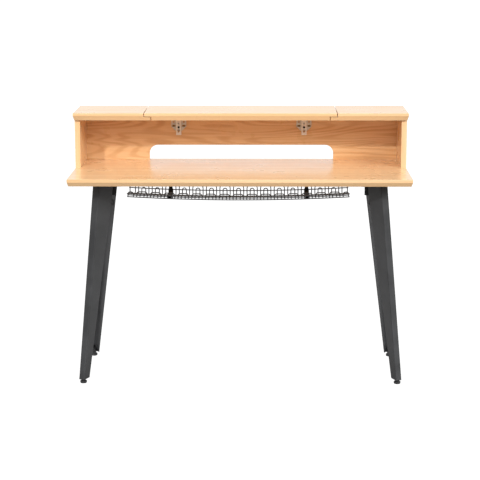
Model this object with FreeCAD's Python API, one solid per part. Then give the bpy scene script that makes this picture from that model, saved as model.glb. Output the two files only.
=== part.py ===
import FreeCAD, Part
import math
import os

# Sewing table: a worktop on four splayed sheet-steel legs, a raised rear shelf
# box whose middle top is a lift-up lid, and a wire cable tray underneath.
# Millimetres. X right, Y back, Z up. Origin on the floor under the middle.

V = FreeCAD.Vector

# ---- driving dimensions -------------------------------------------------
TABLE_HALF_W = 600.0
TABLE_HALF_D = 250.0
TABLE_TOP_Z = 750.0
BOARD_T = 25.0
TABLE_BAND = 11.0
EDGE_INSET = 5.0

SHELF_HALF_W = 605.0
SHELF_FRONT_Y = 6.4
SHELF_TOP_Z = 950.0
SHELF_T = 26.0
SHELF_BAND = 9.0
PANEL_T = 19.0
SIDE_FRONT_Y = 21.0
PANEL_REAR_Y = 243.0
BACK_T = 18.6

CUTOUT_HALF_W = 344.0
CUTOUT_H = 56.0
CUTOUT_R = 31.0

LID_HALF_W = 347.2
LID_CORE_HALF_W = 321.5
LID_GAP = 3.0
LIP_REAR_Y = 195.0
LIP_H = 12.5
RABBET_Z = 937.5
RELIEF = 2.5

LEG_TOP_Z = 722.0
LEG_BOTTOM_Z = 16.0
LEG_T = 3.0
LEG_FOLD_R = 4.5
# Front left leg, as (x, y) of outer tip, fold and inner tip.
LEG_FOOT = ((-577.5, -198.0), (-558.0, -206.0), (-543.0, -172.0))
LEG_HEAD = ((-520.0, -135.0), (-496.0, -147.0), (-450.5, -97.0))
LEG_HOLE_XZ = (-479.0, 605.0)
LEG_HOLE_R = 11.0
GLIDE_XY = (-563.5, -184.0)
GLIDE_R = 12.0
PLATE_X = (-522.0, -446.0)
PLATE_Y = (-160.0, -94.0)
LEG_SCREWS_XY = ((-514.0, -152.0), (-456.0, -150.0), (-480.0, -103.0), (-510.0, -108.0))

BRACKET_X = (-464.0, -443.0)
BRACKET_FRONT_Y = -92.5
BRACKET_REAR_Y = -62.0
BRACKET_H = 56.0
BRACKET_T = 2.5

WIRE_R = 1.9
TRAY_MID_X = -9.0
TRAY_PITCH = 50.2
TRAY_UNITS = 15
TRAY_Z = 634.2
TRAY_SAG = 11.5
TRAY_HALF_W = 406.0
TRAY_FRONT_Y = 22.0
TRAY_REAR_Y = 118.0
TRAY_MID_Y = 67.0
RING_OUTER_HALF = 19.0
RING_INNER_HALF = 7.3
RING_END_HALF = 10.0
REAR_RISE_SHARE = 0.35
WIRE_BEND = 4.5
LIP_BEND = 9.0

HANGER_X = 5 * TRAY_PITCH
HANGER_HALF_W = 6.8
HANGER_T = 2.5
HANGER_FOOT_HALF_W = 10.0
HANGER_FOOT_Y = (32.0, 108.0)
CLAMP_SCREWS_Y = (46.0, 88.0)
CLAMP_SCREW_R = 2.0

HINGE_X = 234.0
WING_HALF_W = 28.0
WING_T = 2.5
WING_TOP_Z = 905.0
WING_CORNER_Z = 876.0
WING_FOOT = (12.5, 860.0)
WING_HOLE_DX = 19.0
ROUND_HOLE_Z = 893.0
ROUND_HOLE_R = 3.9
SLOT_Z = 878.0
SLOT_R = 3.5
SLOT_REACH = 3.5
SLOT_DEPTH = 1.5
WOOD_SCREW_R = 1.9
BLOCK_HALF_W = 7.0
BLOCK_DEPTH = 12.0
BLOCK_BOTTOM_Z = 868.0
ARM_HALF_W = 9.5
ARM_WALL = 1.8
ARM_DEPTH = 14.6
ARM_BOTTOM_Z = 845.0
ARM_SHOULDER_Z = 900.0
ARM_EYE_R = 2.6
ARM_SCREW_Z = 874.1
ARM_SCREW_R = 2.5
ARM_DROP_Z = 861.5
ARM_DROP_R = 5.2
ARM_DROP_TIP_Z = 852.5
ARM_WINDOW_Z = 888.0
ARM_WINDOW_R = 3.0
PIVOT_ARM = (203.7, 920.5)
PIVOT_CUP = (233.1, 928.7)
CUP_Y = 227.0
CUP_R = 17.45
CUP_BORE_R = 15.8
CUP_DEPTH = 13.0
CUP_NOTCH_Y = 244.3
CUP_EAR_X = 24.0
CUP_EAR_R = 5.5
CUP_EAR_Y = CUP_Y - 9.5
PIN_R = 1.2
PIN_CLEAR = 0.05

FIT = 0.05
SCREW_R = 2.25
DOWEL_R = 4.0

# ---- derived levels -----------------------------------------------------
TABLE_UNDER_Z = TABLE_TOP_Z - BOARD_T
SHELF_UNDER_Z = SHELF_TOP_Z - SHELF_T
SIDE_INNER_X = TABLE_HALF_W - PANEL_T
BACK_FRONT_Y = PANEL_REAR_Y - BACK_T
BACK_MID_Y = PANEL_REAR_Y - BACK_T / 2
SIDE_MID_X = TABLE_HALF_W - PANEL_T / 2
HANGER_Y = TRAY_REAR_Y - WIRE_R - 0.1 - HANGER_T
HANGER_FOOT_Z = TRAY_Z + TRAY_SAG * ((HANGER_X + HANGER_FOOT_HALF_W) / 400.0) ** 2 + WIRE_R + 0.1
CLAMP_Z = TRAY_Z + TRAY_SAG * ((HANGER_X - HANGER_FOOT_HALF_W) / 400.0) ** 2 - WIRE_R - 0.1
HANGERS_X = (TRAY_MID_X - HANGER_X, TRAY_MID_X + HANGER_X)


# ---- plain helpers ------------------------------------------------------
def box(x0, x1, y0, y1, z0, z1):
    return Part.makeBox(x1 - x0, y1 - y0, z1 - z0, V(x0, y0, z0))


def rod(x, y, z, r, length, axis=(0, 0, 1)):
    return Part.makeCylinder(r, length, V(x, y, z), V(*axis))


def face_of(points):
    return Part.Face(Part.makePolygon([V(*p) for p in points] + [V(*points[0])]))


def flat_plate(points_xy, z0, z1):
    return face_of([(x, y, z0) for x, y in points_xy]).extrude(V(0, 0, z1 - z0))


def side_profile(points_yz, x0, x1):
    return face_of([(x0, y, z) for y, z in points_yz]).extrude(V(x1 - x0, 0, 0))


def mirror_x(shape):
    return shape.mirror(V(0, 0, 0), V(1, 0, 0))


def mirror_y(shape):
    return shape.mirror(V(0, 0, 0), V(0, 1, 0))


def cut_all(shape, tools):
    return shape.cut(Part.makeCompound(tools)) if tools else shape


def group(solids):
    return Part.makeCompound(solids)


def bevelled_board(half_w, y0, y1, z0, z1, band):
    """Board with an upright band above an undercut on its front and ends."""
    mid = z1 - band
    low = [(-half_w + EDGE_INSET, y0 + EDGE_INSET), (half_w - EDGE_INSET, y0 + EDGE_INSET),
           (half_w - EDGE_INSET, y1), (-half_w + EDGE_INSET, y1)]
    high = [(-half_w, y0), (half_w, y0), (half_w, y1), (-half_w, y1)]
    wires = [Part.makePolygon([V(x, y, z) for x, y in ring + ring[:1]])
             for ring, z in ((low, z0), (high, mid))]
    under = Part.makeLoft(wires, True, True)
    board = under.fuse(box(-half_w, half_w, y0, y1, mid, z1)).removeSplitter()
    rim = [e for e in board.Edges
           if abs(e.BoundBox.ZMin - z1) < 1e-6 and abs(e.BoundBox.ZMax - z1) < 1e-6]
    return board.makeFillet(1.2, rim)


# ---- screws and dowels --------------------------------------------------
def pan_screw(x, y, z, head_r, head_h, shank_r, length, up=1):
    """Screw whose head lies below z (up=1) and whose shank goes up from z."""
    head = rod(x, y, z, head_r, head_h, (0, 0, -up))
    head = head.makeFillet(head_h * 0.4, [e for e in head.Edges
                                         if abs(e.CenterOfMass.z - (z - up * head_h)) < 1e-6
                                         and len(e.Vertexes) == 1])
    drive = rod(x, y, z - up * (head_h + 0.1), head_r * 0.36, head_h * 0.6, (0, 0, up))
    shank = rod(x, y, z - up * 0.5, shank_r, length + 0.5, (0, 0, up))
    return head.fuse(shank).cut(drive)


def side_screw_places():
    """Screws that rise through the worktop into the upright panels."""
    places = [(s * SIDE_MID_X, y) for s in (-1, 1) for y in (60.0, 130.0, 200.0)]
    places += [(s * x, BACK_MID_Y) for s in (-1, 1) for x in (390.0, 530.0)]
    return places


def panel_screw(x, y):
    z0 = TABLE_UNDER_Z + 0.4
    cone = Part.makeCone(4.6, 2.2, 3.0, V(x, y, z0), V(0, 0, 1))
    shank = rod(x, y, z0, 2.2, 50.0)
    drive = rod(x, y, z0 - 0.1, 1.7, 2.2)
    return cone.fuse(shank).cut(drive)


def panel_screw_hole(x, y):
    z0 = TABLE_UNDER_Z
    cone = Part.makeCone(5.2, 2.25, 3.6, V(x, y, z0), V(0, 0, 1))
    return [cone, rod(x, y, z0, 2.2 + FIT, 51.0)]


def dowel_places():
    """Dowels as (point, axis, length) between panels and shelf tops."""
    up = (0, 0, 1)
    places = [((s * SIDE_MID_X, y, SHELF_UNDER_Z - 18.0), up) for s in (-1, 1) for y in (60.0, 190.0)]
    places += [((s * x, BACK_MID_Y, SHELF_UNDER_Z - 18.0), up) for s in (-1, 1) for x in (400.0, 540.0)]
    places += [((s * (TABLE_HALF_W - 10.0), BACK_MID_Y, z), (-s, 0, 0))
               for s in (-1, 1) for z in (790.0, 880.0)]
    return places


def dowel(place, extra):
    point, axis = place
    start = V(*point) - V(*axis) * extra
    body = Part.makeCylinder(DOWEL_R + extra, 30.0 + 2 * extra, start, V(*axis))
    return body if extra else body.makeChamfer(0.8, [e for e in body.Edges if len(e.Vertexes) == 1])


# ---- wooden boards ------------------------------------------------------
def make_worktop():
    board = bevelled_board(TABLE_HALF_W, -TABLE_HALF_D, TABLE_HALF_D, TABLE_UNDER_Z, TABLE_TOP_Z, TABLE_BAND)
    holes = []
    for x, y in side_screw_places():
        holes += panel_screw_hole(x, y)
    for x, y in leg_screw_places():
        holes.append(rod(x, y, TABLE_UNDER_Z - 1, SCREW_R + FIT, 18.0))
    for x, y in bracket_screw_places():
        holes.append(rod(x, y, TABLE_UNDER_Z - 1, SCREW_R + FIT, 18.0))
    for x, y in hanger_screw_places():
        holes.append(rod(x, y, TABLE_UNDER_Z - 1, SCREW_R + FIT, 14.0))
    return cut_all(board, holes)


def make_side_panel(side):
    x0, x1 = sorted((side * SIDE_INNER_X, side * TABLE_HALF_W))
    panel = box(x0, x1, SIDE_FRONT_Y, PANEL_REAR_Y, TABLE_TOP_Z, SHELF_UNDER_Z)
    holes = [dowel(p, FIT) for p in dowel_places() if p[0][0] * side > SIDE_INNER_X]
    for x, y in side_screw_places():
        if x * side > SIDE_INNER_X:
            holes += panel_screw_hole(x, y)
    return cut_all(panel, holes)


def make_back_panel():
    panel = box(-SIDE_INNER_X, SIDE_INNER_X, BACK_FRONT_Y, PANEL_REAR_Y, TABLE_TOP_Z, SHELF_UNDER_Z)
    slot = box(-CUTOUT_HALF_W, CUTOUT_HALF_W, BACK_FRONT_Y - 1, PANEL_REAR_Y + 1,
               TABLE_TOP_Z - CUTOUT_R, TABLE_TOP_Z + CUTOUT_H)
    corners = [e for e in slot.Edges
               if abs(e.CenterOfMass.z - TABLE_TOP_Z - CUTOUT_H) < 1e-6 and e.BoundBox.XLength < 1e-6]
    slot = slot.makeFillet(CUTOUT_R, corners)
    relief = box(-LID_HALF_W - LID_GAP, LID_HALF_W + LID_GAP, BACK_FRONT_Y - 1, PANEL_REAR_Y + 1,
                 SHELF_UNDER_Z - RELIEF, SHELF_UNDER_Z + 1)
    holes = [slot, relief] + [dowel(p, FIT) for p in dowel_places() if abs(p[0][1] - BACK_MID_Y) < 1]
    for x, y in side_screw_places():
        if abs(y - BACK_MID_Y) < 1:
            holes += panel_screw_hole(x, y)
    for x, z in hinge_plate_screw_places():
        holes.append(rod(x, BACK_FRONT_Y - 1, z, WOOD_SCREW_R + FIT, 14.0, (0, 1, 0)))
    return cut_all(panel, holes)


def shelf_blank():
    return bevelled_board(SHELF_HALF_W, SHELF_FRONT_Y, TABLE_HALF_D, SHELF_UNDER_Z, SHELF_TOP_Z, SHELF_BAND)


def make_fixed_top(side):
    """End piece of the shelf top, with a low lip that carries the lid."""
    edge = LID_HALF_W + LID_GAP
    inner = LID_CORE_HALF_W + LID_GAP
    x0, x1 = sorted((side * edge, side * (SHELF_HALF_W + 1)))
    lip_x0, lip_x1 = sorted((side * inner, side * (edge + 1)))
    keep = box(x0, x1, 0, TABLE_HALF_D + 1, SHELF_UNDER_Z - 1, SHELF_TOP_Z + 1)
    keep = keep.fuse(box(lip_x0, lip_x1, 0, LIP_REAR_Y, SHELF_UNDER_Z - 1, SHELF_UNDER_Z + LIP_H))
    top = shelf_blank().common(keep)
    holes = [dowel(p, FIT) for p in dowel_places() if p[1][2] and p[0][0] * side > 0]
    holes += [rod(x, y, SHELF_UNDER_Z + LIP_H - 1.5, 4.0 + FIT, 3.0)
              for x, y in buffer_places() if x * side > 0]
    return cut_all(top, holes)


def make_lid():
    """Middle of the shelf top, thin at both ends where it laps the lips."""
    keep = box(-LID_HALF_W, LID_HALF_W, 0, TABLE_HALF_D + 1, RABBET_Z, SHELF_TOP_Z + 1)
    core = box(-LID_CORE_HALF_W, LID_CORE_HALF_W, 0, TABLE_HALF_D + 1, SHELF_UNDER_Z - 1, RABBET_Z + 1)
    lid = shelf_blank().common(keep.fuse(core))
    holes = []
    for side in (-1, 1):
        x = side * HINGE_X
        holes.append(rod(x, CUP_Y, SHELF_UNDER_Z - 1, CUP_R + FIT, CUP_DEPTH + 1.1))
        holes.append(cup_flange(x, FIT))
    for x, y in cup_screw_places():
        holes.append(rod(x, y, SHELF_UNDER_Z, 1.7 + FIT, 13.0))
    return cut_all(lid, holes)


def buffer_places():
    x = (LID_HALF_W + LID_CORE_HALF_W) / 2
    return [(s * x, y) for s in (-1, 1) for y in (22.0, 182.0)]


def make_lid_buffers():
    z0 = SHELF_UNDER_Z + LIP_H - 1.5
    return group([rod(x, y, z0, 4.0, RABBET_Z - 0.1 - z0) for x, y in buffer_places()])


# ---- legs, plates and brackets ------------------------------------------
def fold_wire(points_xy, z):
    """Outline of a folded strip: two flanges of equal thickness, round fold."""
    tip_a, fold, tip_b = (V(x, y, z) for x, y in points_xy)
    a = (tip_a - fold).normalize()
    b = (tip_b - fold).normalize()
    side_a = b - a * a.dot(b)
    side_a.normalize()
    side_b = a - b * a.dot(b)
    side_b.normalize()
    half = a.getAngle(b) / 2
    bisector = (a + b).normalize()
    centre = fold + bisector * (LEG_FOLD_R / math.sin(half))
    inner_r = LEG_FOLD_R - LEG_T
    out_a = centre - side_a * LEG_FOLD_R
    out_b = centre - side_b * LEG_FOLD_R
    out_mid = centre - bisector * LEG_FOLD_R
    in_a = centre - side_a * inner_r
    in_b = centre - side_b * inner_r
    in_mid = centre - bisector * inner_r
    edges = [Part.LineSegment(tip_a, out_a).toShape(),
             Part.Arc(out_a, out_mid, out_b).toShape(),
             Part.LineSegment(out_b, tip_b).toShape(),
             Part.LineSegment(tip_b, tip_b + side_b * LEG_T).toShape(),
             Part.LineSegment(tip_b + side_b * LEG_T, in_b).toShape(),
             Part.Arc(in_b, in_mid, in_a).toShape(),
             Part.LineSegment(in_a, tip_a + side_a * LEG_T).toShape(),
             Part.LineSegment(tip_a + side_a * LEG_T, tip_a).toShape()]
    return Part.Wire(edges)


def front_left_leg():
    return Part.makeLoft([fold_wire(LEG_FOOT, LEG_BOTTOM_Z), fold_wire(LEG_HEAD, LEG_TOP_Z)], True, True)


def leg_hole_bore(r, start, length):
    """Cylinder square to the wide flange, start measured inward from its outer face."""
    x, z = LEG_HOLE_XZ
    share = (z - LEG_BOTTOM_Z) / (LEG_TOP_Z - LEG_BOTTOM_Z)
    fold, tip = (V(*LEG_FOOT[k], 0) * (1 - share) + V(*LEG_HEAD[k], 0) * share for k in (1, 2))
    along = (tip - fold).normalize()
    inward = V(-along.y, along.x, 0)
    point = fold + along * ((x - fold.x) / along.x) + V(0, 0, z)
    return Part.makeCylinder(r, length, point + inward * start, inward)


def leg_corner(shape, side, end):
    """Move a front left shape to the corner on this side and end."""
    if side > 0:
        shape = mirror_x(shape)
    return mirror_y(shape) if end > 0 else shape


def make_leg(side, end):
    leg = front_left_leg()
    if end > 0:
        leg = leg.cut(leg_hole_bore(LEG_HOLE_R + FIT, -20.0, 40.0))
    return leg_corner(leg, side, end)


def make_leg_plate(side, end):
    plate = box(PLATE_X[0], PLATE_X[1], PLATE_Y[0], PLATE_Y[1], LEG_TOP_Z, TABLE_UNDER_Z)
    corners = [e for e in plate.Edges if e.BoundBox.ZLength > 1]
    plate = plate.makeFillet(8.0, corners)
    plate = cut_all(plate, [rod(x, y, LEG_TOP_Z - 1, SCREW_R + 0.2, 5.0) for x, y in LEG_SCREWS_XY])
    return leg_corner(plate, side, end)


def leg_screw_places():
    return [(-s * x, e * -y) for s in (-1, 1) for e in (-1, 1) for x, y in LEG_SCREWS_XY]


def make_leg_screws():
    return group([pan_screw(x, y, LEG_TOP_Z, 4.6, 3.0, SCREW_R, 18.0) for x, y in leg_screw_places()])


def make_foot_nut(side, end):
    """Threaded plate welded across the foot of the leg, with its nut."""
    x, y = GLIDE_XY
    plate = box(x - 11.0, x + 17.0, y - 20.0, y + 12.0, LEG_BOTTOM_Z + 2.0, LEG_BOTTOM_Z + 5.0)
    outside = front_left_leg()
    beyond = [(x + 40, y - 20), (x + 20, y - 60), (x - 60, y - 60)]
    wedge = flat_plate(list(LEG_FOOT) + beyond, LEG_BOTTOM_Z, LEG_BOTTOM_Z + 8.0)
    plate = plate.cut(outside).cut(wedge)
    plate = max(plate.Solids, key=lambda s: s.Volume)
    hexagon = [(x + 7.5 * math.cos(math.radians(60 * k)), y + 7.5 * math.sin(math.radians(60 * k)))
               for k in range(6)]
    nut = flat_plate(hexagon, LEG_BOTTOM_Z + 5.0, LEG_BOTTOM_Z + 11.0)
    nut = nut.common(box(x - 20, x + 20, y - 6.4, y + 20, 0, 100))
    body = plate.fuse(nut).removeSplitter().cut(rod(x, y, LEG_BOTTOM_Z, 4.0 + FIT, 20.0))
    return leg_corner(body, side, end)


def make_glide_pad(side, end):
    x, y = GLIDE_XY
    pad = Part.makeCone(GLIDE_R - 1.2, GLIDE_R, 2.0, V(x, y, 0)).fuse(rod(x, y, 2.0, GLIDE_R, 6.0))
    pad = pad.fuse(Part.makeCone(GLIDE_R, 7.5, 2.5, V(x, y, 8.0)))
    pad = pad.fuse(rod(x, y, 10.5, 7.5, 4.5)).removeSplitter()
    pad = pad.cut(rod(x, y, 4.0, 4.0, 20.0))
    return leg_corner(pad, side, end)


def make_glide_stem(side, end):
    x, y = GLIDE_XY
    stem = rod(x, y, 4.0, 4.0, 36.0)
    stem = stem.makeChamfer(0.8, [e for e in stem.Edges if len(e.Vertexes) == 1 and e.CenterOfMass.z > 30])
    slot = box(x - 0.6, x + 0.6, y - 5.0, y + 5.0, 38.5, 41.0)
    return leg_corner(stem.cut(slot), side, end)


def make_hole_plugs():
    """Push-in plastic plug for the round hole in each rear leg."""
    plug = leg_hole_bore(LEG_HOLE_R, 0.4, LEG_T + 2.6).cut(leg_hole_bore(LEG_HOLE_R - 2.0, 2.0, 10.0))
    return group([leg_corner(plug.copy(), s, 1) for s in (-1, 1)])


def bracket_screw_places():
    x = (BRACKET_X[0] + BRACKET_X[1]) / 2
    y = (BRACKET_FRONT_Y + BRACKET_T + BRACKET_REAR_Y) / 2 + 2.0
    return [(-s * x, e * -y) for s in (-1, 1) for e in (-1, 1)]


def make_corner_bracket(side, end):
    """Angle bracket beside the leg, hanging from the underside of the top."""
    x0, x1 = BRACKET_X
    z0 = TABLE_UNDER_Z - BRACKET_H
    upright = box(x0, x1, BRACKET_FRONT_Y, BRACKET_FRONT_Y + BRACKET_T, z0, TABLE_UNDER_Z)
    flange = box(x0, x1, BRACKET_FRONT_Y, BRACKET_REAR_Y, TABLE_UNDER_Z - BRACKET_T, TABLE_UNDER_Z)
    bracket = upright.fuse(flange).removeSplitter()
    bend = [e for e in bracket.Edges if e.BoundBox.XLength > 1 and
            abs(e.CenterOfMass.y - BRACKET_FRONT_Y - BRACKET_T) < 0.1 and
            abs(e.CenterOfMass.z - TABLE_UNDER_Z + BRACKET_T) < 0.1]
    bracket = bracket.makeFillet(2.0, bend)
    x, y = bracket_screw_places()[0]
    bracket = bracket.cut(rod(x, y, TABLE_UNDER_Z - 5, SCREW_R + 0.2, 8.0))
    return leg_corner(bracket, side, end)


def make_bracket_screws():
    z = TABLE_UNDER_Z - BRACKET_T
    return group([pan_screw(x, y, z, 4.5, 3.0, SCREW_R, 18.0) for x, y in bracket_screw_places()])


# ---- cable tray ---------------------------------------------------------
def tray_rise(x):
    return TRAY_SAG * ((x - TRAY_MID_X) / 400.0) ** 2


def swept(path, start, direction):
    ring = Part.Wire([Part.Circle(start, direction, WIRE_R).toShape()])
    return path.makePipeShell([ring], True, False)


def bent_path(points, radii):
    """Open path through the points, with a round bend at each inner one."""
    edges = []
    last = points[0]
    for before, corner, after, r in zip(points, points[1:], points[2:], radii):
        a = (before - corner).normalize()
        b = (after - corner).normalize()
        half = a.getAngle(b) / 2
        reach = r / math.tan(half)
        centre = corner + (a + b).normalize() * (r / math.sin(half))
        mid = centre + (corner - centre).normalize() * r
        edges.append(Part.LineSegment(last, corner + a * reach).toShape())
        edges.append(Part.Arc(corner + a * reach, mid, corner + b * reach).toShape())
        last = corner + b * reach
    edges.append(Part.LineSegment(last, points[-1]).toShape())
    return edges


def tray_ring(x, half, front_h, rear_h):
    """Closed wire loop: low rounded front lip, bottom run, arched rear wall."""
    lip_r = min(LIP_BEND, half - 0.3)
    rear_top = TRAY_Z + tray_rise(x) * REAR_RISE_SHARE + rear_h
    start = V(x, TRAY_FRONT_Y, TRAY_Z + tray_rise(x) + front_h)

    def run(px):
        z0 = TRAY_Z + tray_rise(px)
        return [start, V(px, TRAY_FRONT_Y, start.z), V(px, TRAY_FRONT_Y, z0),
                V(px, TRAY_REAR_Y, z0), V(px, TRAY_REAR_Y, rear_top - half)]

    left = run(x - half)
    right = run(x + half)[::-1]
    arch = Part.Arc(left[-1], V(x, TRAY_REAR_Y, rear_top), right[0]).toShape()
    edges = bent_path(left, (lip_r, WIRE_BEND, WIRE_BEND)) + [arch]
    edges += bent_path(right, (WIRE_BEND, WIRE_BEND, lip_r))
    return swept(Part.Wire(edges), start, V(-1, 0, 0))


def make_tray_cross_wires():
    rings = []
    for i in range(TRAY_UNITS):
        x = TRAY_MID_X + (i - (TRAY_UNITS - 1) / 2) * TRAY_PITCH
        rings.append(tray_ring(x, RING_OUTER_HALF, 18.0, 42.0))
        rings.append(tray_ring(x, RING_INNER_HALF, 12.0, 24.5))
    end_x = (TRAY_UNITS - 1) / 2 * TRAY_PITCH + RING_OUTER_HALF + 12.0 + RING_END_HALF
    rings += [tray_ring(TRAY_MID_X + s * end_x, RING_END_HALF, 16.0, 40.0) for s in (-1, 1)]
    return group(rings)


def long_wire(y, dz):
    """Lengthwise wire, bowed down in the middle."""
    rise = tray_rise(TRAY_MID_X + TRAY_HALF_W)
    ends = [V(TRAY_MID_X + s * TRAY_HALF_W, y, TRAY_Z + dz + rise) for s in (-1, 1)]
    arc = Part.Arc(ends[0], V(TRAY_MID_X, y, TRAY_Z + dz), ends[1])
    return swept(Part.Wire([arc.toShape()]), ends[0], arc.tangent(arc.FirstParameter)[0])


def make_tray_long_wires():
    under = -2 * WIRE_R - 0.02
    clear = 2 * WIRE_R + 0.02
    wires = [long_wire(y, under) for y in (TRAY_FRONT_Y + 7.0, TRAY_MID_Y, TRAY_REAR_Y - 7.0)]
    wires.append(long_wire(TRAY_FRONT_Y - clear, 9.4))
    wires.append(long_wire(TRAY_REAR_Y + clear, 15.0))
    return group(wires)


def hanger_screw_places():
    return [(x, HANGER_Y - y) for x in HANGERS_X for y in (11.0, 25.0)]


def make_tray_hanger(side):
    """Bent strap: worktop flange, upright inside the rear wall, long foot."""
    x = TRAY_MID_X + side * HANGER_X
    z0 = HANGER_FOOT_Z
    y1 = HANGER_Y + HANGER_T
    foot_y = HANGER_FOOT_Y[1]
    upright = box(x - HANGER_HALF_W, x + HANGER_HALF_W, HANGER_Y, y1, z0 + 8.0, TABLE_UNDER_Z)
    top = box(x - HANGER_HALF_W, x + HANGER_HALF_W, HANGER_Y - 32.0, y1,
              TABLE_UNDER_Z - HANGER_T, TABLE_UNDER_Z)
    slope = [(foot_y, z0), (y1, z0 + 8.0), (HANGER_Y, z0 + 8.0), (foot_y, z0 + HANGER_T)]
    corner = side_profile(slope, x - HANGER_HALF_W, x + HANGER_HALF_W)
    foot = box(x - HANGER_FOOT_HALF_W, x + HANGER_FOOT_HALF_W, HANGER_FOOT_Y[0], foot_y, z0, z0 + HANGER_T)
    hanger = upright.fuse(top).fuse(corner).fuse(foot).removeSplitter()
    holes = [rod(px, py, TABLE_UNDER_Z - 5, SCREW_R + 0.2, 8.0) for px, py in hanger_screw_places()]
    holes += [rod(x, y, z0 - 1, CLAMP_SCREW_R + 0.1, 5.0) for y in CLAMP_SCREWS_Y]
    return cut_all(hanger, holes)


def make_tray_clamp(side):
    """Plate under the bottom wires that grips them against the strap's foot."""
    x = TRAY_MID_X + side * HANGER_X
    plate = box(x - HANGER_FOOT_HALF_W, x + HANGER_FOOT_HALF_W, CLAMP_SCREWS_Y[0] - 10.0,
                CLAMP_SCREWS_Y[1] + 10.0, CLAMP_Z - HANGER_T, CLAMP_Z)
    under_wire = box(x - HANGER_FOOT_HALF_W - 1, x + HANGER_FOOT_HALF_W + 1, TRAY_MID_Y - 2.4,
                     TRAY_MID_Y + 2.4, CLAMP_Z - 9, CLAMP_Z + 1)
    halves = plate.cut(under_wire)
    bridge = box(x - HANGER_FOOT_HALF_W, x + HANGER_FOOT_HALF_W, TRAY_MID_Y - 5.0, TRAY_MID_Y + 5.0,
                 CLAMP_Z - 8.0, CLAMP_Z)
    plate = halves.fuse(bridge.cut(under_wire.translated(V(0, 0, 3.2)))).removeSplitter()
    return cut_all(plate, [rod(x, y, CLAMP_Z - 9, CLAMP_SCREW_R + 0.1, 12.0) for y in CLAMP_SCREWS_Y])


def make_clamp_screws():
    screws = []
    z = HANGER_FOOT_Z + HANGER_T
    for x in HANGERS_X:
        for y in CLAMP_SCREWS_Y:
            screws.append(pan_screw(x, y, z, 3.6, 2.2, CLAMP_SCREW_R, 12.5, -1))
    return group(screws)


def make_hanger_screws():
    z = TABLE_UNDER_Z - HANGER_T
    return group([pan_screw(x, y, z, 4.4, 2.6, SCREW_R, 14.0) for x, y in hanger_screw_places()])


# ---- lid hinges ---------------------------------------------------------
def hinge_plate_screw_places():
    return [(s * HINGE_X + dx, SLOT_Z) for s in (-1, 1) for dx in (-WING_HOLE_DX, WING_HOLE_DX)]


def wing_slot(x, y, r, depth):
    """Level slot with round ends, r half its height, going back from y."""
    ends = [rod(x + dx, y, SLOT_Z, r, depth, (0, 1, 0)) for dx in (-SLOT_REACH, SLOT_REACH)]
    middle = box(x - SLOT_REACH, x + SLOT_REACH, y, y + depth, SLOT_Z - r, SLOT_Z + r)
    return ends[0].fuse(ends[1]).fuse(middle)


def make_hinge_plate(side):
    """Winged plate on the back panel, with a block that carries the arm."""
    x = side * HINGE_X
    y0 = BACK_FRONT_Y - WING_T
    foot_x, foot_z = WING_FOOT
    outline = [(WING_HALF_W, WING_TOP_Z), (WING_HALF_W, WING_CORNER_Z), (foot_x, foot_z)]
    outline += [(-dx, z) for dx, z in outline[::-1]]
    wings = face_of([(x + dx, y0, z) for dx, z in outline]).extrude(V(0, WING_T, 0))
    upright = [e for e in wings.Edges if e.BoundBox.YLength > 1 and e.BoundBox.XLength < 1]
    wings = wings.makeFillet(2.0, upright)
    block = box(x - BLOCK_HALF_W, x + BLOCK_HALF_W, BACK_FRONT_Y - BLOCK_DEPTH, BACK_FRONT_Y,
                BLOCK_BOTTOM_Z, WING_TOP_Z)
    plate = wings.fuse(block).removeSplitter()
    holes = []
    for dx in (-WING_HOLE_DX, WING_HOLE_DX):
        holes.append(rod(x + dx, y0 - 1, ROUND_HOLE_Z, ROUND_HOLE_R, 6.0, (0, 1, 0)))
        holes.append(wing_slot(x + dx, y0 - 1, SLOT_R, SLOT_DEPTH + 1))
        holes.append(wing_slot(x + dx, y0, WOOD_SCREW_R + 0.3, 6.0))
    for z, r in ((ARM_SCREW_Z, ARM_SCREW_R + FIT), (ARM_WINDOW_Z, ARM_WINDOW_R)):
        holes.append(rod(x, BACK_FRONT_Y - BLOCK_DEPTH - 1, z, r, 11.0, (0, 1, 0)))
    return cut_all(plate, holes)


def cross_cut(x, y, z, reach, width, depth):
    """Tool that cuts a cross drive, going back from y."""
    level = box(x - reach, x + reach, y, y + depth, z - width / 2, z + width / 2)
    return level.fuse(box(x - width / 2, x + width / 2, y, y + depth, z - reach, z + reach))


def make_hinge_plate_screws():
    screws = []
    seat = BACK_FRONT_Y - WING_T + SLOT_DEPTH
    for x, z in hinge_plate_screw_places():
        head = rod(x, seat - 1.3, z, SLOT_R - 0.1, 1.3, (0, 1, 0))
        shank = rod(x, seat - 0.5, z, WOOD_SCREW_R, 13.0, (0, 1, 0))
        screws.append(head.fuse(shank).cut(cross_cut(x, seat - 1.4, z, 2.0, 0.8, 1.0)))
    return group(screws)


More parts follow.
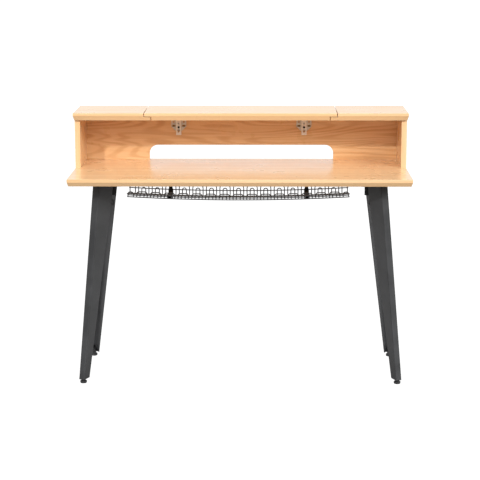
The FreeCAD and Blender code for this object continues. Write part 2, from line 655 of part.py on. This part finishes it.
def make_hinge_arm(side):
    """Channel arm: two cheeks and a front web over the plate's block."""
    x = side * HINGE_X
    y_in = BACK_FRONT_Y - 4.0
    y_web = BACK_FRONT_Y - ARM_DEPTH
    ay, az = PIVOT_ARM
    outline = [(y_in, ARM_BOTTOM_Z), (y_web, ARM_BOTTOM_Z), (y_web, ARM_SHOULDER_Z), (ay - ARM_EYE_R, 914.0),
               (ay - ARM_EYE_R, az), (ay + ARM_EYE_R, az), (y_in, 904.0)]
    web = box(x - ARM_HALF_W, x + ARM_HALF_W, y_web, y_web + ARM_WALL, ARM_BOTTOM_Z, ARM_SHOULDER_Z)
    nose = side_profile([(y_web, ARM_SHOULDER_Z), (ay - ARM_EYE_R, 914.0), (ay - ARM_EYE_R + ARM_WALL, 914.0),
                         (y_web + ARM_WALL, ARM_SHOULDER_Z)], x - ARM_HALF_W, x + ARM_HALF_W)
    arm = web.fuse(nose)
    for x0 in (x - ARM_HALF_W, x + ARM_HALF_W - ARM_WALL):
        arm = arm.fuse(side_profile(outline, x0, x0 + ARM_WALL))
        arm = arm.fuse(rod(x0, ay, az, ARM_EYE_R, ARM_WALL, (1, 0, 0)))
    drop = rod(x, y_web - 1, ARM_DROP_Z, ARM_DROP_R, 4.0, (0, 1, 0))
    tip = face_of([(x - ARM_DROP_R, y_web - 1, ARM_DROP_Z), (x + ARM_DROP_R, y_web - 1, ARM_DROP_Z),
                   (x + 0.8, y_web - 1, ARM_DROP_TIP_Z), (x - 0.8, y_web - 1, ARM_DROP_TIP_Z)])
    holes = [rod(x - 15.0, ay, az, PIN_R, 30.0, (1, 0, 0)),
             rod(x, y_web - 1, ARM_SCREW_Z, ARM_SCREW_R + 0.2, 4.0, (0, 1, 0)),
             rod(x, y_web - 1, ARM_WINDOW_Z, ARM_WINDOW_R, 4.0, (0, 1, 0)),
             drop.fuse(tip.extrude(V(0, 4, 0)))]
    return cut_all(arm.removeSplitter(), holes)


def make_arm_screws():
    screws = []
    for side in (-1, 1):
        x = side * HINGE_X
        y = BACK_FRONT_Y - ARM_DEPTH
        head = rod(x, y - 2.2, ARM_SCREW_Z, 4.0, 2.2, (0, 1, 0))
        shank = rod(x, y - 0.5, ARM_SCREW_Z, ARM_SCREW_R, 12.0, (0, 1, 0))
        screws.append(head.fuse(shank).cut(cross_cut(x, y - 2.3, ARM_SCREW_Z, 2.4, 1.0, 1.4)))
    return group(screws)


def cup_flange(x, extra):
    """Rim plate of the cup with two ears, flush in the lid's underside."""
    z0 = SHELF_UNDER_Z - (1.0 if extra else 0.0)
    h = 1.2 + (1.0 + extra if extra else 0.0)
    disc = rod(x, CUP_Y, z0, 19.2 + extra, h)
    half = CUP_EAR_R + extra
    bar = box(x - CUP_EAR_X, x + CUP_EAR_X, CUP_EAR_Y - half, CUP_EAR_Y + half, z0, z0 + h)
    ears = [rod(x + s * CUP_EAR_X, CUP_EAR_Y, z0, half, h) for s in (-1, 1)]
    return disc.fuse(bar).fuse(ears[0]).fuse(ears[1])


def cup_screw_places():
    return [(s * HINGE_X + dx, CUP_EAR_Y) for s in (-1, 1) for dx in (-CUP_EAR_X, CUP_EAR_X)]


def make_hinge_cup(side):
    """Steel cup, its rim notched at the rear where the open link passes."""
    x = side * HINGE_X
    body = cup_flange(x, 0.0).fuse(rod(x, CUP_Y, SHELF_UNDER_Z, CUP_R, CUP_DEPTH)).removeSplitter()
    holes = [rod(x, CUP_Y, SHELF_UNDER_Z - 1, CUP_BORE_R, CUP_DEPTH),
             rod(x - 20.0, PIVOT_CUP[0], PIVOT_CUP[1], PIN_R, 40.0, (1, 0, 0)),
             box(x - 6.0, x + 6.0, CUP_Y, CUP_NOTCH_Y, SHELF_UNDER_Z - 1, SHELF_UNDER_Z + 1.6)]
    for px, py in cup_screw_places():
        if px * side > 0:
            holes.append(Part.makeCone(3.4, 1.9, 1.21, V(px, py, SHELF_UNDER_Z), V(0, 0, 1)))
    return cut_all(body, holes)


def make_cup_screws():
    screws = []
    for x, y in cup_screw_places():
        head = Part.makeCone(3.3, 1.7, 1.2, V(x, y, SHELF_UNDER_Z + 0.05), V(0, 0, 1))
        shank = rod(x, y, SHELF_UNDER_Z + 1.0, 1.7, 11.0)
        drive = rod(x, y, SHELF_UNDER_Z - 0.1, 1.1, 1.1)
        screws.append(head.fuse(shank).cut(drive))
    return group(screws)


def make_hinge_link(side):
    """Link between the arm's pivot and the cup's pivot, an eye at each end."""
    x = side * HINGE_X
    ay, az = PIVOT_ARM
    by, bz = PIVOT_CUP
    length = math.hypot(by - ay, bz - az)
    n = (-(bz - az) / length * 0.6, (by - ay) / length * 0.6)
    web = side_profile([(ay + n[0], az + n[1]), (by + n[0], bz + n[1]),
                        (by - n[0], bz - n[1]), (ay - n[0], az - n[1])], x - 5.0, x + 5.0)
    arm_eye = rod(x - 7.3, ay, az, 2.5, 14.6, (1, 0, 0))
    cup_eye = rod(x - 5.0, by, bz, 2.5, 10.0, (1, 0, 0))
    link = web.fuse(arm_eye).fuse(cup_eye)
    holes = [rod(x - 10.0, y, z, PIN_R + PIN_CLEAR, 20.0, (1, 0, 0)) for y, z in (PIVOT_ARM, PIVOT_CUP)]
    return cut_all(link.removeSplitter(), holes)


def make_arm_pin(side):
    x0 = side * HINGE_X - ARM_HALF_W
    return rod(x0, PIVOT_ARM[0], PIVOT_ARM[1], PIN_R, 2 * ARM_HALF_W, (1, 0, 0))


def make_cup_pin(side):
    half = CUP_BORE_R + 0.1
    return rod(side * HINGE_X - half, PIVOT_CUP[0], PIVOT_CUP[1], PIN_R, 2 * half, (1, 0, 0))


# ---- whole table --------------------------------------------------------
SIDES = (("left", -1), ("right", 1))
ENDS = (("front", -1), ("rear", 1))


def build_nodes():
    nodes = {
        "worktop": make_worktop(),
        "back_panel": make_back_panel(),
        "lid": make_lid(),
        "lid_buffers": make_lid_buffers(),
        "panel_screws": group([panel_screw(x, y) for x, y in side_screw_places()]),
        "dowels": group([dowel(p, 0) for p in dowel_places()]),
        "leg_screws": make_leg_screws(),
        "hole_plugs": make_hole_plugs(),
        "bracket_screws": make_bracket_screws(),
        "tray_cross_wires": make_tray_cross_wires(),
        "tray_long_wires": make_tray_long_wires(),
        "tray_clamp_screws": make_clamp_screws(),
        "tray_hanger_screws": make_hanger_screws(),
        "hinge_plate_screws": make_hinge_plate_screws(),
        "hinge_arm_screws": make_arm_screws(),
        "hinge_cup_screws": make_cup_screws(),
    }
    for word, side in SIDES:
        nodes["side_panel_" + word] = make_side_panel(side)
        nodes["fixed_top_" + word] = make_fixed_top(side)
        nodes["tray_hanger_" + word] = make_tray_hanger(side)
        nodes["tray_clamp_" + word] = make_tray_clamp(side)
        nodes["hinge_plate_" + word] = make_hinge_plate(side)
        nodes["hinge_arm_" + word] = make_hinge_arm(side)
        nodes["hinge_link_" + word] = make_hinge_link(side)
        nodes["hinge_cup_" + word] = make_hinge_cup(side)
        nodes["hinge_arm_pin_" + word] = make_arm_pin(side)
        nodes["hinge_cup_pin_" + word] = make_cup_pin(side)
        for place, end in ENDS:
            corner = place + "_" + word
            nodes["leg_" + corner] = make_leg(side, end)
            nodes["leg_plate_" + corner] = make_leg_plate(side, end)
            nodes["corner_bracket_" + corner] = make_corner_bracket(side, end)
            nodes["foot_nut_" + corner] = make_foot_nut(side, end)
            nodes["glide_pad_" + corner] = make_glide_pad(side, end)
            nodes["glide_stem_" + corner] = make_glide_stem(side, end)
    return nodes


os.makedirs("parts", exist_ok=True)
for name, shape in build_nodes().items():
    shape.exportStep("parts/" + name + ".step")
    print(name, len(shape.Solids), shape.isValid(), round(shape.Volume / 1000.0, 2), "cm3")
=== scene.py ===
import math

import bpy
from mathutils import Matrix, Vector


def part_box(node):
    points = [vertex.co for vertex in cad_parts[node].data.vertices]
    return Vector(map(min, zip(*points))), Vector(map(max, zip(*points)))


# ---- camera, in metres and radians ---------------------------------------
CAMERA_AT = Vector((0.0783, -5.6053, 1.6135))
CAMERA_YAW = -0.0144
CAMERA_PITCH = 0.1983
CAMERA_ROLL = 0.0014
CAMERA_LENS = 117.5
SENSOR = 36.0

# ---- light ----------------------------------------------------------------
SUN_DIRECTION = Vector((0.332, 1.0, -0.582))
SUN_STRENGTH = 1.18
SUN_SPREAD = math.radians(2.0)
FILL_DIRECTION = Vector((-0.80, 1.0, -0.65))
FILL_STRENGTH = 1.6
FILL_SPREAD = math.radians(24.0)
HORIZON_FRONT = 0.28
SOFTBOX_FRONT = 1.55
WORLD_REAR = 0.88
SOFTBOX_FROM = 0.05
SOFTBOX_TO = 0.42
SIDES_FROM = -0.85
SIDES_TO = 0.05
FLOOR_HALF = 40.0
FLOOR_SEEN = 0.96
FLOOR_SHADE = 0.12
FLOOR_BOUNCE = 0.20
SWEEP_GLOW = 1.35
SWEEP_FROM = -0.4
SWEEP_TO = 1.0

# ---- colours, and sizes in metres -----------------------------------------
WOOD_LIGHT = (0.87, 0.60, 0.350)
WOOD_MID = (0.82, 0.52, 0.265)
WOOD_DARK = (0.57, 0.28, 0.100)
PLAIN_TINT = (1.0, 1.0, 1.0)
# Painted shade: the back panel's wood is tinted redder and deeper, standing in for the warm bounce light in
# its shade.
BACK_PANEL_SHADE_TINT = (0.95, 0.90, 0.80)
# Painted shade: the downward-facing undercut of each board is painted this much darker.
UNDERCUT_SHADE = 0.72
LACQUER = 0.60
LACQUER_ROUGHNESS = 0.14
STRAIGHT_RINGS = 70.0
CATHEDRAL_RINGS = 120.0

CHARCOAL = (0.033, 0.0335, 0.0350)
CHARCOAL_EDGE = (0.12, 0.12, 0.125)
BLACK = (0.010, 0.010, 0.011)
BLACK_EDGE = (0.05, 0.05, 0.052)
WIRE_GREY = (0.135, 0.140, 0.160)
WIRE_EDGE = (0.10, 0.10, 0.11)
BLACK_PLASTIC = (0.016, 0.016, 0.017)
CLEAR_SILICONE = (0.62, 0.62, 0.60)

NICKEL = (0.70, 0.65, 0.57)
# Painted light: the hinge arm gets a lighter, warmer copy of the nickel, a painted reflection of the lit wood
# around it.
LIT_NICKEL = (0.86, 0.80, 0.72)
NICKEL_METALLIC = 0.55
OXIDE = (0.018, 0.018, 0.019)
ZINC = (0.56, 0.57, 0.58)
# Hinge plate screws: yellow plating, darkened with painted shade for their place deep in the plate's slots.
SHADED_BRONZE = (0.20, 0.13, 0.05)
# Painted shade: dark brown on the hinge plate's surfaces deep in its slots and holes.
RECESS_SHADE = (0.10, 0.060, 0.022)
RECESS_FROM = 0.0007
RECESS_TO = 0.0012
THREAD_PITCH = 0.00125

PAINT_BEVEL = 0.0009
WOOD_BEVEL = 0.0012
METAL_BEVEL = 0.0004
PLASTIC_BEVEL = 0.0006


class Graph:
    """A new material and short calls that add shader nodes to it."""

    def __init__(self, name):
        self.material = bpy.data.materials.new(name)
        self.material.use_nodes = True
        self.tree = self.material.node_tree
        self.tree.nodes.clear()
        self.rounded = None
        self.where = self.add("ShaderNodeTexCoord").outputs["Object"]

    def add(self, kind, inputs=None, **settings):
        made = self.tree.nodes.new(kind)
        for name, value in settings.items():
            setattr(made, name, value)
        for name, value in (inputs or {}).items():
            if isinstance(value, bpy.types.NodeSocket):
                self.tree.links.new(value, made.inputs[name])
            else:
                made.inputs[name].default_value = value
        return made

    def stretched(self, scale, shift=(0.0, 0.0, 0.0)):
        """Place in metres times scale, so a small scale makes long features."""
        values = {"Vector": self.where, "Scale": scale, "Location": shift}
        return self.add("ShaderNodeMapping", values).outputs[0]

    def noise(self, place, detail=2.0, rough=0.5, scale=1.0, warp=0.0):
        values = {"Vector": place, "Scale": scale, "Detail": detail, "Roughness": rough, "Distortion": warp}
        return self.add("ShaderNodeTexNoise", values).outputs["Fac"]

    def math(self, operation, first, second=0.0, clamp=False):
        made = self.add("ShaderNodeMath", {0: first, 1: second}, operation=operation, use_clamp=clamp)
        return made.outputs[0]

    def spread(self, value, low, high, to_low=0.0, to_high=1.0):
        """Smoothly maps low..high onto to_low..to_high, flat outside."""
        values = {"Value": value, "From Min": low, "From Max": high, "To Min": to_low, "To Max": to_high}
        return self.add("ShaderNodeMapRange", values, interpolation_type="SMOOTHSTEP").outputs["Result"]

    def blend(self, share, first, second, mode="MIX"):
        made = self.add("ShaderNodeMix", data_type="RGBA", blend_type=mode)
        for index, value in ((0, share), (6, first), (7, second)):
            if isinstance(value, bpy.types.NodeSocket):
                self.tree.links.new(value, made.inputs[index])
            elif index:
                made.inputs[index].default_value = (*value, 1.0)
            else:
                made.inputs[index].default_value = value
        return made.outputs[2]

    def bump(self, height, strength, distance):
        """Relief on top of the softened edges, where the material has them."""
        values = {"Height": height, "Strength": strength, "Distance": distance}
        if self.rounded is not None:
            values["Normal"] = self.rounded
        return self.add("ShaderNodeBump", values).outputs[0]

    def edge_wear_and_highlight(self, width):
        """1 on sharp edges and 0 away from them. It also softens the edges for bump."""
        self.rounded = self.add("ShaderNodeBevel", {"Radius": width}, samples=4).outputs[0]
        normal = self.add("ShaderNodeNewGeometry").outputs["True Normal"]
        match = self.add("ShaderNodeVectorMath", {0: self.rounded, 1: normal}, operation="DOT_PRODUCT")
        return self.spread(match.outputs["Value"], 0.80, 0.995, 1.0, 0.0)

    def undercut_shade_mask(self):
        """1 on the slanted undercut of a board and 0 on its other faces: where painted shade goes."""
        normal = self.add("ShaderNodeNewGeometry").outputs["Normal"]
        upward = self.add("ShaderNodeSeparateXYZ", {0: normal}).outputs["Z"]
        slanted = self.spread(upward, -0.22, -0.12, 0.75, 0.0)
        level = self.spread(upward, -0.90, -0.60, 0.0, 1.0)
        return self.math("MULTIPLY", slanted, level)

    def surface(self, colour, roughness, normal=None, **constants):
        inputs = {"Base Color": colour, "Roughness": roughness}
        if normal is not None:
            inputs["Normal"] = normal
        inputs.update({name.replace("_", " "): value for name, value in constants.items()})
        shader = self.add("ShaderNodeBsdfPrincipled", inputs)
        self.add("ShaderNodeOutputMaterial", {"Surface": shader.outputs[0]})
        return self.material


def scaled(colour, factor, lift=0.0):
    """The colour times factor plus lift, at most white."""
    return tuple(min(1.0, c * factor + lift) for c in colour)


def tinted(colour, tint):
    return tuple(c * t for c, t in zip(colour, tint))


# ---- materials ------------------------------------------------------------
def wood(name, along, seed, figure=1.0, cathedral=False, tint=PLAIN_TINT):
    """Lacquered beech veneer. Figure is how strong the growth rings show."""
    g = Graph(name)
    shift = (seed * 1.73, seed * 0.91, seed * 2.37)

    def grain(length, width):
        """Stretched place: features length metres along the grain, width across."""
        scale = [1.0 / width] * 3
        scale["XYZ".index(along)] = 1.0 / length
        return g.stretched(scale, shift)

    if cathedral:
        broad = g.noise(grain(0.80, 0.095), detail=1.5, rough=0.45, warp=0.3)
        slow = g.math("MULTIPLY", broad, CATHEDRAL_RINGS)
    else:
        broad = g.noise(grain(3.2, 0.09), detail=1.0, rough=0.4)
        slow = g.math("MULTIPLY", broad, STRAIGHT_RINGS)
    drift = g.noise(grain(0.14, 0.010), detail=3.0, rough=0.55)
    level = g.math("ADD", slow, g.math("MULTIPLY", drift, 3.0 if cathedral else 1.6))
    ring = g.spread(g.math("SINE", level), -0.9, 1.0)
    sharp_ring = g.math("POWER", ring, 1.8)
    patch = g.noise(grain(1.40, 0.030), detail=1.5)
    fibre = g.noise(grain(0.22, 0.0016), detail=3.0, rough=0.6)
    fleck = g.spread(g.noise(grain(0.008, 0.0011), detail=1.0), 0.60, 0.72)
    light = tinted(WOOD_LIGHT, tint)
    middle = tinted(WOOD_MID, tint)
    dark = tinted(WOOD_DARK, tint)
    base = g.blend(g.spread(patch, 0.35, 0.68), light, middle)
    ring_share = g.math("MULTIPLY", sharp_ring, g.spread(patch, 0.30, 0.65, 0.35 * figure, 0.70 * figure))
    ringed = g.blend(ring_share, base, dark)
    streak = g.noise(grain(0.50, 0.006), detail=3.0, rough=0.6)
    mellow = g.blend(g.spread(streak, 0.40, 0.68, 0.0, 0.20), ringed, dark)
    streaked = g.blend(g.spread(fibre, 0.42, 0.72, 0.0, 0.20), mellow, dark)
    flecked = g.blend(g.math("MULTIPLY", fleck, 0.12), streaked, dark)
    # Lighter edges: partly edge wear, partly a painted highlight where a rounded edge catches light.
    worn = g.blend(g.math("MULTIPLY", g.edge_wear_and_highlight(WOOD_BEVEL), 0.35), flecked, light)
    # Painted shade on the downward-facing undercut of the boards.
    undercut = g.blend(g.undercut_shade_mask(), worn, scaled(WOOD_MID, UNDERCUT_SHADE))
    roughness = g.spread(g.noise(g.stretched((9.0, 9.0, 9.0)), detail=3.0), 0.3, 0.7, 0.26, 0.36)
    pores = g.math("ADD", g.math("MULTIPLY", fibre, 0.6), g.math("MULTIPLY", fleck, -0.4))
    return g.surface(undercut, roughness, g.bump(pores, 0.10, 0.0002), IOR=1.47, Coat_Weight=LACQUER,
                     Coat_Roughness=LACQUER_ROUGHNESS)


def powder_coat(name, colour, roughness, edge_colour, texture=0.0009):
    """Matt sprayed coating with a fine orange-peel skin and worn edges."""
    g = Graph(name)
    peel = g.noise(g.stretched([1.0 / texture] * 3), detail=2.0)
    cloud = g.noise(g.stretched([14.0] * 3), detail=3.0)
    mottled = g.blend(g.spread(cloud, 0.32, 0.70), scaled(colour, 0.84), scaled(colour, 1.22))
    speckled = g.blend(g.spread(peel, 0.55, 0.75, 0.0, 0.30), mottled, scaled(colour, 1.7))
    edge_share = g.math("MULTIPLY", g.edge_wear_and_highlight(PAINT_BEVEL), g.spread(cloud, 0.40, 0.62, 0.2, 0.7))
    worn = g.blend(edge_share, speckled, edge_colour)
    rough = g.spread(cloud, 0.3, 0.7, roughness - 0.05, roughness + 0.06)
    return g.surface(worn, rough, g.bump(peel, 0.25, texture * 0.25), IOR=1.45)


def plated(name, colour, roughness, streak_axis="Z", tarnish=0.35, recess=None, thread=False,
           metallic=1.0):
    """Plated steel with drawn streaks, cloudy tarnish and bright edges. Recess is (near, far) in Y:
    surfaces beyond it get painted shade, dark brown. Thread cuts a screw thread's ridges around Z."""
    g = Graph(name)
    scale = [1400.0] * 3
    scale["XYZ".index(streak_axis)] = 60.0
    streak = g.noise(g.stretched(scale), detail=2.0)
    cloud = g.noise(g.stretched([160.0] * 3), detail=4.0, rough=0.6)
    dull = scaled(colour, 0.62)
    tarnished = g.blend(g.spread(cloud, 0.40, 0.72, 0.0, tarnish), colour, dull)
    streaked = g.blend(g.spread(streak, 0.42, 0.70, 0.0, 0.25), tarnished, dull)
    bright = g.blend(g.math("MULTIPLY", g.edge_wear_and_highlight(METAL_BEVEL), 0.5), streaked, scaled(colour, 1.4))
    if recess:
        backward = g.add("ShaderNodeSeparateXYZ", {0: g.where}).outputs["Y"]
        # Painted shade: surfaces deep in the recess are painted dark brown.
        bright = g.blend(g.spread(backward, recess[0], recess[1], 0.0, 0.85), bright, RECESS_SHADE)
    rough = g.spread(cloud, 0.3, 0.7, roughness - 0.06, roughness + 0.10)
    relief = g.bump(streak, 0.15, 0.00008)
    if thread:
        upward = g.add("ShaderNodeSeparateXYZ", {0: g.where}).outputs["Z"]
        ridge = g.math("SINE", g.math("MULTIPLY", upward, 2 * math.pi / THREAD_PITCH))
        relief = g.bump(ridge, 0.9, 0.0003)
    return g.surface(bright, rough, relief, Metallic=metallic)


def moulded(name, colour, roughness, grain=0.0007, **constants):
    """Moulded plastic or rubber with a fine pebbled skin and rubbed edges."""
    g = Graph(name)
    pebble = g.noise(g.stretched([1.0 / grain] * 3), detail=1.0)
    cloud = g.noise(g.stretched([60.0] * 3), detail=3.0)
    mottled = g.blend(g.spread(cloud, 0.35, 0.68), colour, scaled(colour, 1.35, 0.004))
    rubbed = g.blend(g.math("MULTIPLY", g.edge_wear_and_highlight(PLASTIC_BEVEL), 0.4), mottled, scaled(colour, 2.4))
    rough = g.spread(pebble, 0.3, 0.7, roughness - 0.06, roughness + 0.06)
    return g.surface(rubbed, rough, g.bump(pebble, 0.3, grain * 0.2), **constants)


def make_materials():
    screw_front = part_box("hinge_plate_screws")[0][1]
    # Painted shade goes on plate surfaces this far behind the screws' front.
    plate_recess = (screw_front + RECESS_FROM, screw_front + RECESS_TO)
    return {
        "worktop": wood("beech_worktop", "X", 1.0, figure=0.12),
        "lid": wood("beech_lid", "X", 2.0, figure=0.12),
        "fixed_top": wood("beech_fixed_top", "X", 3.0, figure=0.12),
        "side_panel": wood("beech_side_panel", "Z", 4.0, figure=0.25),
        # The back panel carries the painted shade tint.
        "back_panel": wood("beech_back_panel", "X", 5.0, figure=0.85, cathedral=True, tint=BACK_PANEL_SHADE_TINT),
        "dowels": wood("beech_dowel", "Z", 6.0, figure=0.2),
        "leg": powder_coat("charcoal_coat", CHARCOAL, 0.48, CHARCOAL_EDGE),
        "black_steel": powder_coat("black_coat", BLACK, 0.50, BLACK_EDGE),
        "wire": powder_coat("tray_wire_coat", WIRE_GREY, 0.42, WIRE_EDGE, 0.0006),
        "hinge": plated("satin_nickel", NICKEL, 0.42),
        "hinge_plate": plated("stamped_nickel", NICKEL, 0.42, recess=plate_recess,
                              metallic=NICKEL_METALLIC),
        # The arm's nickel carries painted light and a painted reflection of the wood.
        "arm": plated("lit_nickel", LIT_NICKEL, 0.48, metallic=NICKEL_METALLIC),
        "zinc": plated("zinc_plate", ZINC, 0.34, "Z", 0.45),
        # Yellow plating with painted shade.
        "bronze": plated("shaded_yellow_passivated", SHADED_BRONZE, 0.42, "X", 0.5),
        "black_screw": plated("black_oxide", OXIDE, 0.40, "X", 0.4),
        "stem": plated("black_thread", OXIDE, 0.40, "X", 0.4, thread=True),
        "plastic": moulded("black_plastic", BLACK_PLASTIC, 0.46),
        "silicone": moulded("clear_silicone", CLEAR_SILICONE, 0.35, IOR=1.41),
    }


# Longer beginnings first: the first one that a node's name starts with counts.
MATERIAL_OF = (
    ("worktop", "worktop"), ("lid_buffers", "silicone"), ("lid", "lid"), ("fixed_top", "fixed_top"),
    ("side_panel", "side_panel"), ("back_panel", "back_panel"), ("dowels", "dowels"),
    ("leg_screws", "zinc"), ("leg_", "leg"), ("corner_bracket", "black_steel"), ("hole_plugs", "plastic"),
    ("bracket_screws", "zinc"), ("tray_cross", "wire"), ("tray_long", "wire"), ("tray_hanger_screws", "zinc"),
    ("tray_clamp_screws", "black_screw"), ("tray_", "black_steel"), ("hinge_arm_screws", "black_screw"),
    ("hinge_plate_screws", "bronze"), ("hinge_cup_screws", "zinc"), ("hinge_arm_left", "arm"),
    ("hinge_arm_right", "arm"), ("hinge_plate", "hinge_plate"), ("hinge_", "hinge"),
    ("glide_pad", "plastic"), ("glide_stem", "stem"), ("foot_nut", "black_steel"), ("panel_screws", "zinc"),
)


def material_key(node_name):
    return next(key for start, key in MATERIAL_OF if node_name.startswith(start))


def paint_nodes(nodes, materials):
    for name, node in nodes.items():
        node.data.materials.clear()
        node.data.materials.append(materials[material_key(name)])


# ---- stage ----------------------------------------------------------------
def make_floor():
    """Pale floor that looks nearly white, and throws back light mostly from behind the table."""
    corners = [(-FLOOR_HALF, -FLOOR_HALF, 0), (FLOOR_HALF, -FLOOR_HALF, 0),
               (FLOOR_HALF, FLOOR_HALF, 0), (-FLOOR_HALF, FLOOR_HALF, 0)]
    mesh = bpy.data.meshes.new("floor")
    mesh.from_pydata(corners, [], [(0, 1, 2, 3)])
    floor = bpy.data.objects.new("floor", mesh)
    bpy.context.scene.collection.objects.link(floor)
    g = Graph("pale_floor")
    glow = g.add("ShaderNodeEmission", {"Strength": FLOOR_SEEN}).outputs[0]
    shade = g.add("ShaderNodeBsdfDiffuse", {"Color": (FLOOR_SHADE, FLOOR_SHADE, FLOOR_SHADE, 1.0)}).outputs[0]
    seen = g.add("ShaderNodeAddShader", {0: glow, 1: shade}).outputs[0]
    bounce = (FLOOR_BOUNCE, FLOOR_BOUNCE, FLOOR_BOUNCE, 1.0)
    dull = g.add("ShaderNodeBsdfDiffuse", {"Color": bounce}).outputs[0]
    backward = g.add("ShaderNodeSeparateXYZ", {0: g.where}).outputs["Y"]
    sweep = g.spread(backward, SWEEP_FROM, SWEEP_TO, 0.0, SWEEP_GLOW)
    far_glow = g.add("ShaderNodeEmission", {"Strength": sweep}).outputs[0]
    lit = g.add("ShaderNodeAddShader", {0: dull, 1: far_glow})
    direct = g.add("ShaderNodeLightPath").outputs["Is Camera Ray"]
    mixed = g.add("ShaderNodeMixShader", {0: direct, 1: lit.outputs[0], 2: seen}).outputs[0]
    g.add("ShaderNodeOutputMaterial", {"Surface": mixed})
    mesh.materials.append(g.material)


def make_sun(name, direction, strength, spread):
    lamp = bpy.data.lights.new(name, "SUN")
    lamp.energy = strength
    lamp.angle = spread
    sun = bpy.data.objects.new(name, lamp)
    sun.rotation_euler = direction.to_track_quat("-Z", "Y").to_euler()
    bpy.context.scene.collection.objects.link(sun)


def make_world():
    """White surround: bright behind, and in front a high softbox above a dim horizon."""
    world = bpy.data.worlds.new("studio")
    world.use_nodes = True
    tree = world.node_tree
    background = tree.nodes["Background"]
    direction = tree.nodes.new("ShaderNodeTexCoord")
    parts = tree.nodes.new("ShaderNodeSeparateXYZ")
    tree.links.new(direction.outputs["Generated"], parts.inputs[0])

    def ramp(value, low, high, to_low, to_high):
        made = tree.nodes.new("ShaderNodeMapRange")
        made.interpolation_type = "SMOOTHSTEP"
        tree.links.new(value, made.inputs["Value"])
        made.inputs["From Min"].default_value = low
        made.inputs["From Max"].default_value = high
        made.inputs["To Min"].default_value = to_low
        made.inputs["To Max"].default_value = to_high
        return made.outputs["Result"]

    def mix(share, first, second):
        made = tree.nodes.new("ShaderNodeMix")
        for index, value in ((0, share), (2, first), (3, second)):
            if isinstance(value, bpy.types.NodeSocket):
                tree.links.new(value, made.inputs[index])
            else:
                made.inputs[index].default_value = value
        return made.outputs[0]

    front = ramp(parts.outputs["Z"], SOFTBOX_FROM, SOFTBOX_TO, HORIZON_FRONT, SOFTBOX_FRONT)
    level = mix(ramp(parts.outputs["Y"], SIDES_FROM, SIDES_TO, 0.0, 1.0), front, WORLD_REAR)
    path = tree.nodes.new("ShaderNodeLightPath")
    strength = mix(path.outputs["Is Camera Ray"], level, 1.0)
    tree.links.new(strength, background.inputs["Strength"])
    background.inputs["Color"].default_value = (1.0, 1.0, 1.0, 1.0)
    bpy.context.scene.world = world


def make_camera():
    forward = Vector((math.sin(CAMERA_YAW) * math.cos(CAMERA_PITCH),
                      math.cos(CAMERA_YAW) * math.cos(CAMERA_PITCH), -math.sin(CAMERA_PITCH)))
    level = Vector((math.cos(CAMERA_YAW), -math.sin(CAMERA_YAW), 0.0))
    down = forward.cross(level)
    right = level * math.cos(CAMERA_ROLL) + down * math.sin(CAMERA_ROLL)
    up = level * math.sin(CAMERA_ROLL) - down * math.cos(CAMERA_ROLL)
    data = bpy.data.cameras.new("camera")
    data.sensor_width = SENSOR
    data.lens = CAMERA_LENS
    data.clip_end = 200.0
    camera = bpy.data.objects.new("camera", data)
    bpy.context.scene.collection.objects.link(camera)
    turn = Matrix((right, up, -forward)).transposed().to_4x4()
    camera.matrix_world = Matrix.Translation(CAMERA_AT) @ turn
    bpy.context.scene.camera = camera


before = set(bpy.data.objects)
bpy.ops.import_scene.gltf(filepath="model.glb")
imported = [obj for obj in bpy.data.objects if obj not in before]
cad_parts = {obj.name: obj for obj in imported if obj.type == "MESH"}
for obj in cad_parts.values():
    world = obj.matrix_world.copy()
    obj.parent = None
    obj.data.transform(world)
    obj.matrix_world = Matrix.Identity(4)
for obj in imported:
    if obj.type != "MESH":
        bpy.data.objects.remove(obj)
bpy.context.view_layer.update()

paint_nodes(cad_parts, make_materials())
make_floor()
make_sun("key", SUN_DIRECTION, SUN_STRENGTH, SUN_SPREAD)
make_sun("fill", FILL_DIRECTION, FILL_STRENGTH, FILL_SPREAD)
make_world()
make_camera()
bpy.context.scene.view_settings.view_transform = "Standard"
